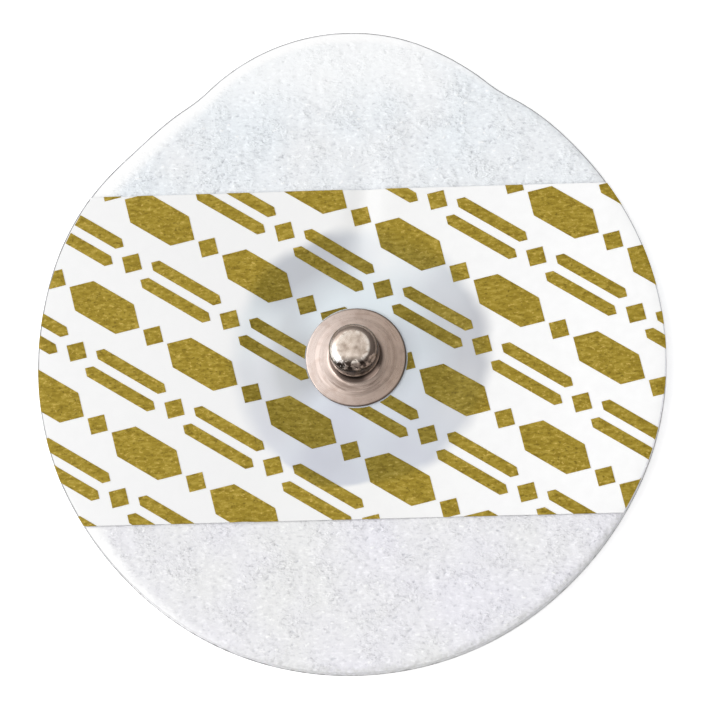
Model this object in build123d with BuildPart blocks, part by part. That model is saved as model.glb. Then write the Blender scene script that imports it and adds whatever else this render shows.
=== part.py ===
from build123d import *
from math import atan2, ceil, sqrt, tan
import os

# A disposable ECG electrode: a die-cut foam pad with a pull tab, a printed label across it,
# a gel sponge in the pad's well, and a snap fastener that clamps the label's dished middle.
# Millimetres. The origin is on the skin face, under the axis of the snap stud. +Z points away
# from the skin, and +Y points along the pull tab.

# Foam pad
pad_radius = 25.0
pad_offset_x = -0.4  # from the stud's axis to the middle of the round pad
pad_offset_y = -0.35
tab_radius = 16.2  # of the round end of the pull tab
tab_length = 2.25  # how far the pull tab stands out past the round pad
tab_blend_radius = 12.0  # of the hollow flanks between the tab and the round pad
foam_thickness = 1.5
pinch_width = 0.6  # the slope that the cutting die presses into the rim of the bare foam
pinch_depth = 0.25
well_radius = 10.0  # the hole that holds the gel sponge

# Label, a film that runs across the pad and is cut off with it
label_width = 26.9
label_offset = 0.3  # from the stud's axis to the label's middle line
label_thickness = 0.12
dish_depth = 0.3  # how far the snap pulls the film down into the well
dish_slope = 2.2  # the width of the film's slope round the dish
dish_margin = 0.2  # from the well's wall to the start of the slope

# Snap stud, drawn from sheet
stud_sheet = 0.25
stud_height = 3.95
stud_flange_radius = 4.0
stud_step_radius = 3.25  # where the flat flange starts to rise
stud_step_width = 0.3
stud_step_height = 0.05
stud_cone_radius = 2.2  # from the shallow cone inside the step to the steep foot of the neck
stud_cone_height = 0.08
stud_neck_radius = 1.7
stud_foot_height = 0.67
stud_neck_length = 0.35
stud_flare_height = 0.45  # the undercut, from the neck out to the head
stud_head_radius = 1.97
stud_head_round = 0.75  # the edge of the flat top
stud_inner_bevel = 0.5  # the same edge inside the head

# Sensor eyelet, a moulded disc with a post that is swaged inside the stud's head
eyelet_radius = 4.75
eyelet_thickness = 0.5
eyelet_bevel = 0.15
post_clearance = 0.04
swage_length = 0.9  # the straight side of the widened tip
swage_clearance = 0.06
swage_bevel = 0.3

# Gel sponge
gel_clearance = 0.3  # to the well's wall
gel_pocket_clearance = 0.1  # round the eyelet's disc

# Gold print: falling rows of pointed bars and diamonds, on a film of ink
ink_thickness = 0.03
ink_flange_gap = 0.1  # bare film round the stud's flange
print_lift = 2.0  # from the stud's axis up to the middle of the print
row_slope = -32.0  # degrees
row_pitch = 4.2
bar_pitch = 9.2
bar_length = 6.6
broad_bar_width = 2.8
fine_bar_width = 0.95
fine_bar_gap = 0.7
diamond_side = 1.35

# Places that follow from the sizes above, and heights from the stack of the pieces
tab_reach = pad_radius + tab_length
label_floor = foam_thickness - dish_depth
stud_base = label_floor + label_thickness
stud_top = stud_base + stud_height
stud_flange_top = stud_base + stud_sheet
stud_step_top = stud_flange_top + stud_step_height
stud_cone_top = stud_step_top + stud_cone_height
stud_neck_low = stud_cone_top + stud_foot_height
stud_neck_high = stud_neck_low + stud_neck_length
dish_rim_radius = well_radius - dish_margin
dish_floor_radius = dish_rim_radius - dish_slope
post_radius = stud_neck_radius - stud_sheet - post_clearance


def pad_outline():
    """The die-cut outline: a round pad and the round end of the tab, with a hollow blend between."""
    tab_middle = Vector(0, tab_reach - tab_radius)
    to_pad = pad_radius + tab_blend_radius
    to_tab = tab_radius + tab_blend_radius
    blend_y = (to_pad**2 - to_tab**2 + tab_middle.Y**2) / (2 * tab_middle.Y)
    blend_middle = Vector(sqrt(to_pad**2 - blend_y**2), blend_y)
    pad_end = blend_middle * (pad_radius / to_pad)
    tab_end = tab_middle + (blend_middle - tab_middle) * (tab_radius / to_tab)
    with BuildSketch(mode=Mode.PRIVATE) as outline:
        with BuildLine():
            TangentArc((0, -pad_radius), pad_end, tangent=(1, 0))
            RadiusArc(pad_end, tab_end, tab_blend_radius)
            TangentArc((0, tab_reach), tab_end, tangent=(1, 0))
            mirror(about=Plane.YZ)
        make_face()
    return outline.sketch.moved(Location((pad_offset_x, pad_offset_y)))


def label_outline():
    """The strip across the pad, with its ends on the pad's own outline."""
    with BuildSketch(mode=Mode.PRIVATE) as outline:
        add(pad_outline())
        with Locations((0, label_offset)):
            Rectangle(4 * pad_radius, label_width, mode=Mode.INTERSECT)
    return outline.sketch


def dished_film(height, thickness, bore_radius):
    """A film of the label's outline, flat on the pad and dished down into the well."""
    low = height - dish_depth
    with BuildPart(mode=Mode.PRIVATE) as film:
        with BuildSketch(Plane.XY.offset(height)):
            add(label_outline())
            Circle(dish_rim_radius, mode=Mode.SUBTRACT)
        extrude(amount=thickness)
        with BuildSketch(Plane.XZ):
            Polygon(
                (bore_radius, low),
                (dish_floor_radius, low),
                (dish_rim_radius, height),
                (dish_rim_radius, height + thickness),
                (dish_floor_radius, low + thickness),
                (bore_radius, low + thickness),
                align=None,
            )
        revolve(axis=Axis.Z)
    return film.part


def seat_height(radius):
    """The height of the seat inside the stud's undercut, where the swaged post locks."""
    flare_width = stud_head_radius - stud_neck_radius
    bend = atan2(flare_width, stud_flare_height)
    lowest = stud_neck_high + stud_sheet * tan(bend / 2)
    return lowest + (radius - stud_neck_radius + stud_sheet) * stud_flare_height / flare_width


def pointed_bar(length, width):
    """A flat bar with both ends cut to a square point."""
    end = length / 2
    shoulder = end - width / 2
    edge = width / 2
    Polygon((end, 0), (shoulder, edge), (-shoulder, edge), (-end, 0), (-shoulder, -edge), (shoulder, -edge))


def print_motifs():
    """Falling rows over the whole label: broad bars, and between them pairs of fine bars."""
    bars = ceil(2 * pad_radius / bar_pitch) + 1
    rows = ceil(pad_radius / row_pitch) + 1
    with BuildSketch(mode=Mode.PRIVATE) as motifs:
        with Locations(Location((0, print_lift), row_slope)):
            with GridLocations(bar_pitch, 2 * row_pitch, bars, rows):
                pointed_bar(bar_length, broad_bar_width)
                with Locations((bar_pitch / 2, 0), (0, row_pitch)):
                    Rectangle(diamond_side, diamond_side, rotation=45)
                with Locations((bar_pitch / 2, row_pitch)):
                    with GridLocations(0, fine_bar_width + fine_bar_gap, 1, 2):
                        pointed_bar(bar_length, fine_bar_width)
    return motifs.sketch


# Foam pad: the top edge is pinched on bare foam, and square under the label
with BuildPart() as foam_backing:
    with BuildSketch():
        add(pad_outline())
    extrude(amount=foam_thickness)
    top = foam_backing.faces().sort_by(Axis.Z)[-1]
    chamfer(top.edges(), length=pinch_width, length2=pinch_depth, reference=top)
    with BuildSketch():
        add(label_outline())
    extrude(amount=foam_thickness)
    Cylinder(well_radius, foam_thickness, align=(Align.CENTER, Align.CENTER, Align.MIN), mode=Mode.SUBTRACT)

# Label, with the hole that the eyelet's post goes through
with BuildPart() as label:
    add(dished_film(foam_thickness, label_thickness, post_radius + post_clearance))

# Snap stud: one drawn sheet, from the flange's rim over the undercut head to the flat top
with BuildPart() as snap_stud:
    with BuildSketch(Plane.XZ):
        with BuildLine():
            Polyline(
                (stud_flange_radius, stud_flange_top),
                (stud_step_radius, stud_flange_top),
                (stud_step_radius - stud_step_width, stud_step_top),
                (stud_cone_radius, stud_cone_top),
                (stud_neck_radius, stud_neck_low),
                (stud_neck_radius, stud_neck_high),
                (stud_head_radius, stud_neck_high + stud_flare_height),
                (stud_head_radius, stud_top),
                (0, stud_top),
            )
            offset(amount=stud_sheet, kind=Kind.INTERSECTION, side=Side.LEFT, closed=True)
        make_face()
    revolve(axis=Axis.Z)
    outer_top, inner_top = snap_stud.faces().filter_by(Axis.Z).sort_by(Axis.Z, reverse=True)[:2]
    chamfer(inner_top.edges(), length=stud_inner_bevel)
    fillet(outer_top.edges(), radius=stud_head_round)

# Sensor eyelet: its disc clamps the label from below, and its swaged post fills the stud's head
with BuildPart() as sensor_eyelet:
    with BuildSketch(Plane.XZ):
        with BuildLine():
            swage_radius = stud_head_radius - stud_sheet - swage_clearance
            swage_low = seat_height(swage_radius)
            swage_high = swage_low + swage_length
            disc_low = label_floor - eyelet_thickness
            Polyline(
                (0, disc_low),
                (eyelet_radius, disc_low),
                (eyelet_radius, label_floor),
                (post_radius, label_floor),
                (post_radius, seat_height(post_radius)),
                (swage_radius, swage_low),
                (swage_radius, swage_high),
                (0, swage_high),
                close=True,
            )
        make_face()
    revolve(axis=Axis.Z)
    disc_edges = sensor_eyelet.edges().filter_by(GeomType.CIRCLE).group_by(SortBy.RADIUS)[-1]
    chamfer(disc_edges, length=eyelet_bevel)
    chamfer(sensor_eyelet.faces().sort_by(Axis.Z)[-1].edges(), length=swage_bevel)

# Gel sponge: it fills the well, with a pocket for the eyelet's disc
with BuildPart() as gel_sponge:
    with BuildSketch():
        Circle(well_radius - gel_clearance)
    extrude(amount=label_floor)
    with BuildSketch(Plane.XY.offset(label_floor)):
        Circle(eyelet_radius + gel_pocket_clearance)
    extrude(amount=-eyelet_thickness, mode=Mode.SUBTRACT)

# Gold print: the part of the motifs that falls on the film, as a skin of ink on the label
with BuildPart() as label_print:
    add(dished_film(foam_thickness + label_thickness, ink_thickness, stud_flange_radius + ink_flange_gap))
    with BuildSketch():
        add(print_motifs())
    extrude(amount=stud_top, mode=Mode.INTERSECT)

os.makedirs("parts", exist_ok=True)
for node, sub_part in (
    ("foam_backing", foam_backing),
    ("label", label),
    ("label_print", label_print),
    ("snap_stud", snap_stud),
    ("sensor_eyelet", sensor_eyelet),
    ("gel_sponge", gel_sponge),
):
    sub_part.part.label = node
    export_step(sub_part.part, f"parts/{node}.step")
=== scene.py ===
import math

import bmesh
import bpy
import numpy as np
from mathutils import Matrix, Vector
from mathutils.geometry import delaunay_2d_cdt


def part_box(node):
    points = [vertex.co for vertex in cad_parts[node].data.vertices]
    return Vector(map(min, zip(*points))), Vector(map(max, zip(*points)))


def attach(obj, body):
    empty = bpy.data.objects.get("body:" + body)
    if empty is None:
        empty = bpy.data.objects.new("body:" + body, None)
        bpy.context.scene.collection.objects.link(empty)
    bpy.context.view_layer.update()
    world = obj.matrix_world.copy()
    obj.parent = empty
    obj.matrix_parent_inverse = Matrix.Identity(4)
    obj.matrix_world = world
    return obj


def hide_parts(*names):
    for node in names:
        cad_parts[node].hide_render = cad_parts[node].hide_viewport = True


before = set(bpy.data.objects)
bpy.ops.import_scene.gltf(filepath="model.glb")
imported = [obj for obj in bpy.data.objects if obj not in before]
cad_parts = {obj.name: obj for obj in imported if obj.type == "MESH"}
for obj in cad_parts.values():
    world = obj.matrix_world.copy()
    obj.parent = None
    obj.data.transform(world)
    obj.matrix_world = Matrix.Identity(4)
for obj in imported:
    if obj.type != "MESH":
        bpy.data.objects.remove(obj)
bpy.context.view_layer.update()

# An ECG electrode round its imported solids: a foam pad with a pull tab, a label film with gold print across it,
# a gel sponge, a sensor eyelet and a snap stud. Shapes are worked out in millimetres and stored in metres.
MM = 0.001


def node_box(node):
    """Lowest and highest corner of a solid, in millimetres."""
    low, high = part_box(node)
    return np.array(low) / MM, np.array(high) / MM


# Sizes read from the solids
foam_low, foam_high = node_box("foam_backing")
label_low, label_high = node_box("label")
stud_low, stud_high = node_box("snap_stud")
eyelet_low, eyelet_high = node_box("sensor_eyelet")
gel_high = node_box("gel_sponge")[1]
pad_radius = (foam_high[0] - foam_low[0]) / 2
pad_middle = np.array(((foam_low[0] + foam_high[0]) / 2, foam_low[1] + pad_radius))
tab_reach = foam_high[1] - pad_middle[1]
foam_thickness = foam_high[2]
label_width = label_high[1] - label_low[1]
label_middle = (label_low[1] + label_high[1]) / 2
label_thickness = label_high[2] - foam_thickness
dish_depth = foam_thickness - label_low[2]
stud_base = stud_low[2]
stud_top = stud_high[2]
flange_radius = stud_high[0]
gel_radius = gel_high[0]

# Sizes that the boxes don't give, the same as in the solids
tab_radius = 16.2
tab_blend_radius = 12.0
well_radius = 10.0
dish_rim_radius = 9.8
dish_floor_radius = 7.6
bore_radius = 1.45
stud_sheet = 0.25
head_radius = 1.97
neck_radius = 1.7
cone_radius = 2.2
step_radius = 3.25

# Fineness of the meshes
edge_step = 0.16  # along the pad's cut edge
foam_grid = 0.14  # on bare foam
bed_grid = 0.6  # on the foam under the label
skin_grid = 0.9
well_step = 0.4
label_grid = 0.4
label_step = 0.3  # along the label's edges
arc_step = 0.04  # along the rounded corners of a turned profile
sliver = 0.004  # faces whose middle lies nearer to the cut edge than this are left out
slack = 0.001  # by which a face of a round hole's edge may reach into the hole

rng = np.random.default_rng(7)


# Smooth functions

def smoothstep(low, high, value):
    """From nought at low to one at high, with soft ends. High may lie below low."""
    t = np.clip((value - low) / (high - low), 0.0, 1.0)
    return t * t * (3.0 - 2.0 * t)


def bell(value, width):
    """One at nought, falling off on both sides over a width."""
    return np.exp(-((value / width) ** 2))


class Relief:
    """Smooth random bumps of a depth, about one cell wide. The shift says which part of their table is used."""

    size = 256  # cells along the table, after which the bumps repeat

    def __init__(self, depth, cell, seed, shift=(30.0, 30.0)):
        self.depth, self.cell, self.shift = depth, cell, shift
        self.table = np.random.default_rng(seed).uniform(-1.0, 1.0, (self.size, self.size))

    def at(self, x, y):
        u, v = (x + self.shift[0]) / self.cell, (y + self.shift[1]) / self.cell
        i, j = np.floor(u).astype(int), np.floor(v).astype(int)
        s, t = smoothstep(0.0, 1.0, u - i), smoothstep(0.0, 1.0, v - j)

        def corner(di, dj):
            return self.table[(i + di) % self.size, (j + dj) % self.size]

        near = corner(0, 0) * (1 - s) + corner(1, 0) * s
        far = corner(0, 1) * (1 - s) + corner(1, 1) * s
        return self.depth * (near * (1 - t) + far * t)


# Outline of the pad: a round pad and the round end of the tab, with a hollow blend between

tab_middle_y = tab_reach - tab_radius
to_pad = pad_radius + tab_blend_radius
to_tab = tab_radius + tab_blend_radius
blend_y = (to_pad**2 - to_tab**2 + tab_middle_y**2) / (2 * tab_middle_y)
blend_x = math.sqrt(to_pad**2 - blend_y**2)
pad_end_angle = math.atan2(blend_y, blend_x)
tab_end_angle = math.atan2(blend_y - tab_middle_y, blend_x)

# Where the cut edge strays from the die's outline: direction, push outwards in millimetres, and spread
cut_strays = (
    (133.0, -0.22, 8.0),
    (154.0, 0.17, 13.0),
    (54.0, 0.18, 10.0),
    (72.0, -0.1, 8.0),
    (-40.0, -0.2, 22.0),
    (-138.0, -0.17, 20.0),
)


def cut_stray(angle):
    """How far the cut edge stands out from the die's outline, by direction from the pad's middle."""
    total = np.zeros_like(angle)
    for direction, push, spread in cut_strays:
        away = (np.degrees(angle) - direction + 180.0) % 360.0 - 180.0
        total = total + push * bell(away, spread)
    return total


def edge_distance(x, y):
    """Distance from a point inside the pad to its cut edge."""
    x, y = x - pad_middle[0], y - pad_middle[1]
    across = np.abs(x)
    on_pad = np.arctan2(y, across) <= pad_end_angle
    on_tab = np.arctan2(y - tab_middle_y, across) >= tab_end_angle
    to_round = pad_radius - np.hypot(x, y)
    to_tip = tab_radius - np.hypot(x, y - tab_middle_y)
    to_blend = np.hypot(across - blend_x, y - blend_y) - tab_blend_radius
    base = np.where(on_pad, to_round, np.where(on_tab, to_tip, to_blend))
    return base + cut_stray(np.arctan2(y, x))


def along(x, y, axis):
    """How far a point lies from the pad's middle along an axis, in radii of the pad."""
    return (axis[0] * (x - pad_middle[0]) + axis[1] * (y - pad_middle[1])) / pad_radius


def arc(middle, radius, start, end, step):
    """Points along an arc, with the end point left to the next arc."""
    count = max(2, int(round(abs(end - start) * radius / step)))
    angles = np.linspace(start, end, count, endpoint=False)
    return np.c_[middle[0] + radius * np.cos(angles), middle[1] + radius * np.sin(angles)]


def circle_loop(radius, step):
    """Points round a circle on the stud's axis."""
    return arc((0.0, 0.0), radius, 0.0, 2 * math.pi, step)


def outward(loop):
    """Unit vectors that point out of an anticlockwise loop."""
    ahead = np.roll(loop, -1, axis=0) - np.roll(loop, 1, axis=0)
    return np.c_[ahead[:, 1], -ahead[:, 0]] / np.hypot(ahead[:, 0], ahead[:, 1])[:, None]


def pad_loop(step):
    """Points round the pad's cut edge, anticlockwise."""
    half = np.vstack((
        arc((0, 0), pad_radius, -math.pi / 2, pad_end_angle, step),
        arc((blend_x, blend_y), tab_blend_radius, pad_end_angle + math.pi, tab_end_angle + math.pi, step),
        arc((0, tab_middle_y), tab_radius, tab_end_angle, math.pi / 2, step),
    ))
    mirrored = np.vstack((half[1:], [[0.0, tab_reach]])) * (-1, 1)
    loop = np.vstack((half, mirrored[::-1]))
    angle = np.arctan2(loop[:, 1], loop[:, 0])
    strayed = pad_middle + loop + outward(loop) * cut_stray(angle)[:, None]
    return np.clip(strayed, foam_low[:2], foam_high[:2])


# The pad's own form: broad waves, and an edge that the die rolls over and pinches

pad_waves = Relief(0.035, 7.0, seed=3, shift=(40.0, 40.0))
roll_width, roll_depth = 3.0, 0.03
pinch_width = 0.6
foam_pinch_depth = 0.14
label_pinch_depth = 0.05
flat_axis = (-math.sqrt(0.5), math.sqrt(0.5))  # towards the upper left, where the edge stays flatter
flat_from, flat_to, flat_share = -0.5, 0.9, 0.8


def pad_relief(x, y):
    """The pad's broad waves with the roll towards its edge, and the share of the pinch at the cut edge."""
    inner = edge_distance(x, y)
    bent = 1.0 - flat_share * smoothstep(flat_from, flat_to, along(x, y, flat_axis))
    roll = roll_depth * bent * np.clip(1.0 - inner / roll_width, 0.0, 1.0) ** 2
    fall = bent * np.clip(1.0 - inner / pinch_width, 0.0, 1.0) ** 2
    return pad_waves.at(x, y) - roll, fall


# Label: dished and puckered round the stud, creased above it, and lifted a little at its lower edge

dish_soft_floor, dish_soft_rim = 0.4, 0.5  # how far the dish's rounded slope runs past the solid's
calm_margin = 3.0  # outside the dish, where the pad's waves are full
puckers = Relief(0.035, 1.0, seed=11, shift=(20.0, 0.0))
puckers_to_radian, pucker_drift = 4.2, 0.25
pucker_start, pucker_end = (5.0, 8.5), (9.2, 11.5)  # radii over which the puckers rise and fade
crease_x, crease_y, crease_lean = 0.5, 10.0, 0.1  # a point of the crease, and its slope
crease_width, crease_depth = 1.1, 0.24
crease_start, crease_end = (7.5, 10.5), (14.0, 17.0)  # stretches of Y over which it deepens and fades
edge_lift_height, edge_lift_reach = 0.05, 0.9
edge_lift_waves = Relief(1.0, 4.5, seed=17, shift=(60.0, 0.0))
bubble_x, bubble_width, bubble_height = -9.1, 0.7, 0.2


def from_label_edge(y):
    """Distance from a long edge of the label, positive on the label."""
    return label_width / 2 - np.abs(y - label_middle)


def crease(x, y):
    """The fold that the snap pulls up from the dish, over the label's upper edge and into the foam."""
    from_fold = x - crease_x - crease_lean * (y - crease_y)
    length = smoothstep(*crease_start, y) * (1.0 - smoothstep(*crease_end, y))
    return crease_depth * length * bell(from_fold, crease_width)


def label_height(x, y):
    """Upper face of the label."""
    wave, fall = pad_relief(x, y)
    radius, angle = np.hypot(x, y), np.arctan2(y, x)
    dish = 1.0 - smoothstep(dish_floor_radius - dish_soft_floor, dish_rim_radius + dish_soft_rim, radius)
    pucker_zone = smoothstep(*pucker_start, radius) * (1.0 - smoothstep(*pucker_end, radius))
    pucker = puckers.at(angle * puckers_to_radian, radius * pucker_drift) * pucker_zone
    lower_edge = np.clip(1.0 - (y - label_low[1]) / edge_lift_reach, 0.0, 1.0) ** 2
    ripple = edge_lift_height * (0.5 + 0.5 * np.clip(edge_lift_waves.at(x, 0 * x), 0, 1))
    bubble = bubble_height * bell(x - bubble_x, bubble_width)
    lift = lower_edge * (ripple + bubble) * (1.0 - fall)
    calm = wave * smoothstep(flange_radius, dish_rim_radius + calm_margin, radius)
    relief = calm - dish_depth * dish + pucker - crease(x, y)
    return foam_thickness + label_thickness + relief - label_pinch_depth * fall + lift


# Foam: bare faces with wrinkles and pits, and a smooth bed for the label

clump_relief = Relief(1.0, 2.0, seed=8)
clump_from, clump_to, clump_least = -0.35, 0.4, 0.25  # how the wrinkles gather in clumps
long_wrinkles = Relief(0.03, 0.3, seed=5, shift=(30.0, 40.0))
wrinkle_squeeze = (0.75, 1.25)
round_wrinkles = Relief(0.01, 0.75, seed=9)
unevenness = Relief(0.012, 1.7, seed=6)
crumbs = Relief(0.05, 0.3, seed=12, shift=(50.0, 50.0))
crumb_reach, crumb_zone = (0.15, 0.75), (-8.0, -16.0)  # distances from the cut edge, and the Y they start at
full_pit = 0.07  # the depth at which a pit's painted shade is full
label_under_gap = 0.006
bed_blend = (0.05, 0.4)  # distances inside the label's edge over which bare foam turns into its bed

# A painted highlight on the rim, along the cut edge on the left and over the tip of the tab
rim_axis = (-0.87, 0.5)
rim_side, rim_far = (-0.1, 0.6), (0.8, 1.0)  # where along the axis it starts, and where it is broadest
rim_width, rim_side_width, rim_far_width = 0.5, 1.1, 0.7
rim_full = 0.25  # the share of its width that is fully pale
rim_smooth = 0.8  # the share of the grain that it loses
rim_wall = (4.0, -8.0)  # the Y over which the wall below becomes pale too
tip_y, tip_x, tip_share = (19.0, 24.0), (11.0, 3.0), 0.55

# Painted shade along the rim, on the lower right and below
shade_axis = (0.5, -1.0)
shade_zone, shade_reach = (0.55, 0.95), (0.1, 0.62)


def scatter(spacing, keep, shake=(0.12, 0.88)):
    """Loosely even random points over the pad, one in each cell of a shaken grid."""
    xs = np.arange(-pad_radius, pad_radius, spacing)
    ys = np.arange(-pad_radius, tab_reach, spacing)
    grid = np.stack(np.meshgrid(xs, ys), -1).reshape(-1, 2)
    grid = grid + rng.uniform(*shake, grid.shape) * spacing
    return grid[keep(grid[:, 0], grid[:, 1])]


def bare(x, y, margin):
    """Points of the pad that the label leaves bare."""
    return (from_label_edge(y) < -margin) & (edge_distance(x, y) > margin)


class Pits:
    """Small dents of burst cells and a few raised specks, longer along X than across."""

    spacing, margin = 0.7, 0.22
    lengths, long_share, long_factor = (0.12, 0.22), 0.3, 1.6
    widths = (0.06, 0.1)
    lean, lean_spread = 0.25, 0.3
    least_depth, depth_range, depth_power = 0.01, 0.075, 2.5
    speck_share, speck_factor = 0.35, -0.5
    rings = ((0.6, 5), (1.15, 8))  # share of a pit's size, and points of the mesh on that ellipse
    edge_gap = 0.05  # between these points and the cut edge
    sink_reach, sharpness, squareness = 2.2, 1.6, 1.5
    clear_reach, clear_size = 1.45, 1.9

    def __init__(self):
        self.middle = scatter(self.spacing, lambda x, y: bare(x, y, self.margin))
        count = len(self.middle)
        self.half_length = rng.uniform(*self.lengths, count)
        self.half_length *= np.where(rng.random(count) < self.long_share, self.long_factor, 1.0)
        self.half_width = rng.uniform(*self.widths, count)
        self.turn = rng.normal(self.lean, self.lean_spread, count)
        self.depth = self.least_depth + self.depth_range * rng.random(count) ** self.depth_power
        self.depth *= np.where(rng.random(count) < self.speck_share, self.speck_factor, 1.0)

    def ring(self, share, count):
        """Points on an ellipse round every pit, at a share of its size."""
        angles = np.linspace(0.0, 2 * math.pi, count, endpoint=False)
        u = self.half_length[:, None] * share * np.cos(angles)
        v = self.half_width[:, None] * share * np.sin(angles)
        c, s = np.cos(self.turn)[:, None], np.sin(self.turn)[:, None]
        x = self.middle[:, :1] + u * c - v * s
        y = self.middle[:, 1:] + u * s + v * c
        return np.stack((x, y), -1).reshape(-1, 2)

    def points(self):
        """Points of the mesh in and round the pits."""
        points = np.vstack([self.middle] + [self.ring(*ring) for ring in self.rings])
        return points[bare(points[:, 0], points[:, 1], self.edge_gap)]

    def near(self, x, reach):
        """Each pit's number, with the points whose X lies within reach, in lengths of the longest pit."""
        order = np.argsort(x)
        reach = reach * self.half_length.max()
        first = np.searchsorted(x[order], self.middle[:, 0] - reach)
        last = np.searchsorted(x[order], self.middle[:, 0] + reach)
        for k in range(len(self.middle)):
            yield k, order[first[k]:last[k]]

    def sink(self, x, y):
        """Depth of the pits at each point."""
        total = np.zeros_like(x)
        for k, near in self.near(x, self.sink_reach):
            dx, dy = x[near] - self.middle[k, 0], y[near] - self.middle[k, 1]
            c, s = math.cos(self.turn[k]), math.sin(self.turn[k])
            u = (c * dx + s * dy) / self.half_length[k]
            v = (-s * dx + c * dy) / self.half_width[k]
            total[near] += self.depth[k] * np.exp(-self.sharpness * (u * u + v * v) ** self.squareness)
        return total

    def clear(self, points):
        """The points that lie outside every pit."""
        kept = np.ones(len(points), bool)
        for k, near in self.near(points[:, 0], self.clear_reach):
            dx, dy = points[near].T - self.middle[k][:, None]
            away = (dx / self.half_length[k]) ** 2 + (dy / self.half_width[k]) ** 2
            kept[near] &= away > self.clear_size
        return points[kept]


def rim_highlight(x, y):
    """How pale the rim highlight is painted on the foam."""
    leftwards = along(x, y, rim_axis)
    side = smoothstep(*rim_side, leftwards)
    reach = rim_width + rim_side_width * side + rim_far_width * smoothstep(*rim_far, leftwards)
    on_edge = np.sqrt(side) * (1.0 - smoothstep(rim_full, 1.0, edge_distance(x, y) / reach))
    on_tip = smoothstep(*tip_y, y) * smoothstep(*tip_x, x)
    return np.maximum(on_edge, tip_share * on_tip)


def rim_shade(x, y):
    """How much painted shade darkens the foam along the cut edge."""
    return smoothstep(*shade_zone, along(x, y, shade_axis)) * (1.0 - smoothstep(*shade_reach, edge_distance(x, y)))


def bare_height(x, y, pits):
    """Bare foam: wrinkles in clumps, broader unevenness, pits, and crumbs along the cut edge below."""
    wave, fall = pad_relief(x, y)
    clumps = clump_least + (1.0 - clump_least) * smoothstep(clump_from, clump_to, clump_relief.at(x, y))
    wrinkles = long_wrinkles.at(wrinkle_squeeze[0] * x, wrinkle_squeeze[1] * y) + round_wrinkles.at(x, y)
    crumbly = (1.0 - smoothstep(*crumb_reach, edge_distance(x, y))) * smoothstep(*crumb_zone, y)
    grain = clumps * wrinkles + unevenness.at(x, y) + crumbly * crumbs.at(x, y) - pits.sink(x, y)
    # the grain is smoothed where the rim highlight is painted
    grain = grain * (1.0 - rim_smooth * rim_highlight(x, y) ** 2)
    return foam_thickness + wave + grain - crease(x, y) - foam_pinch_depth * fall


def foam_height(x, y, pits):
    """Upper face of the foam: bare outside the label, and just under the film inside it."""
    covered = smoothstep(*bed_blend, from_label_edge(y))
    wave, fall = pad_relief(x, y)
    flat = foam_thickness + wave - label_pinch_depth * fall
    bed = np.minimum(flat, label_height(x, y) - label_thickness) - label_under_gap
    return covered * bed + (1.0 - covered) * bare_height(x, y, pits)


# Meshes

def triangulate(loops, inner, inside, same_point=1e-7):
    """Flat triangles between closed loops and through inner points. The loops' points come first."""
    points = np.vstack(list(loops) + [inner])
    edges, start = [], 0
    for loop in loops:
        ids = np.arange(start, start + len(loop))
        edges += list(zip(ids.tolist(), np.roll(ids, -1).tolist()))
        start += len(loop)
    result = delaunay_2d_cdt([Vector(p) for p in points], edges, [], 0, same_point, False)
    placed = np.array([v[:] for v in result[0]])
    faces = np.array(result[2])
    if len(placed) != len(points):
        raise ValueError("points of the outline fell together")
    middle = placed[faces].mean(1)
    return placed, faces[inside(middle[:, 0], middle[:, 1])]


def link(name, mesh):
    """An object of a mesh, put into the scene."""
    piece = bpy.data.objects.new(name, mesh)
    bpy.context.scene.collection.objects.link(piece)
    return piece


def new_object(name, points, faces, crease_angle=None):
    """A smooth piece, with crisp edges where its faces turn by more than the crease angle."""
    mesh = bpy.data.meshes.new(name)
    mesh.from_pydata((np.asarray(points) * MM).tolist(), [], [list(map(int, f)) for f in faces])
    mesh.validate()
    bm = bmesh.new()
    bm.from_mesh(mesh)
    bmesh.ops.recalc_face_normals(bm, faces=bm.faces)
    bm.to_mesh(mesh)
    bm.free()
    mesh.shade_smooth()
    if crease_angle:
        mesh.set_sharp_from_angle(angle=crease_angle)
    return link(name, mesh)


def get_points(piece):
    """A piece's points in millimetres."""
    co = np.empty(len(piece.data.vertices) * 3)
    piece.data.vertices.foreach_get("co", co)
    return co.reshape(-1, 3) / MM


def set_points(piece, points):
    piece.data.vertices.foreach_set("co", (points * MM).ravel())
    piece.data.update()


def store(piece, name, values):
    """A number for each point of a piece, which its material reads by name."""
    piece.data.attributes.new(name, "FLOAT", "POINT").data.foreach_set("value", values)


def wall(upper, lower):
    """Quads between two closed rings of point numbers."""
    following = np.roll(np.arange(len(upper)), -1)
    return [(upper[k], upper[n], lower[n], lower[k]) for k, n in enumerate(following)]


# Edges of the foam and the film
cut_line = 0.1  # the width of the grey line painted along the cut edge as shade where the rim turns down
rim_rows = (cut_line, 0.26, 0.44)  # rows of points inside the cut edge
film_edge = 0.1  # the height of the adhesive film's edge, at the foot of the wall
film_inset = 0.01
wall_rows = (0.9, 0.75, 0.6, 0.45, 0.3, 0.15, 0.0)  # shares of the wall's height above the adhesive film
wall_inset = 0.02
wall_ripples = Relief(0.09, 0.32, seed=23, shift=(0.0, 0.0))
label_crease_angle = math.radians(50)


def foam_wall(edge, top):
    """Rows of points down the rippled cut wall of the foam."""
    rows = []
    for share in wall_rows:
        height = film_edge + (top - film_edge) * share
        ripple = np.abs(wall_ripples.at(np.arange(len(edge)) * edge_step, height))
        rows.append(np.c_[edge - outward(edge) * (wall_inset + ripple)[:, None], height])
    return rows


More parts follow.
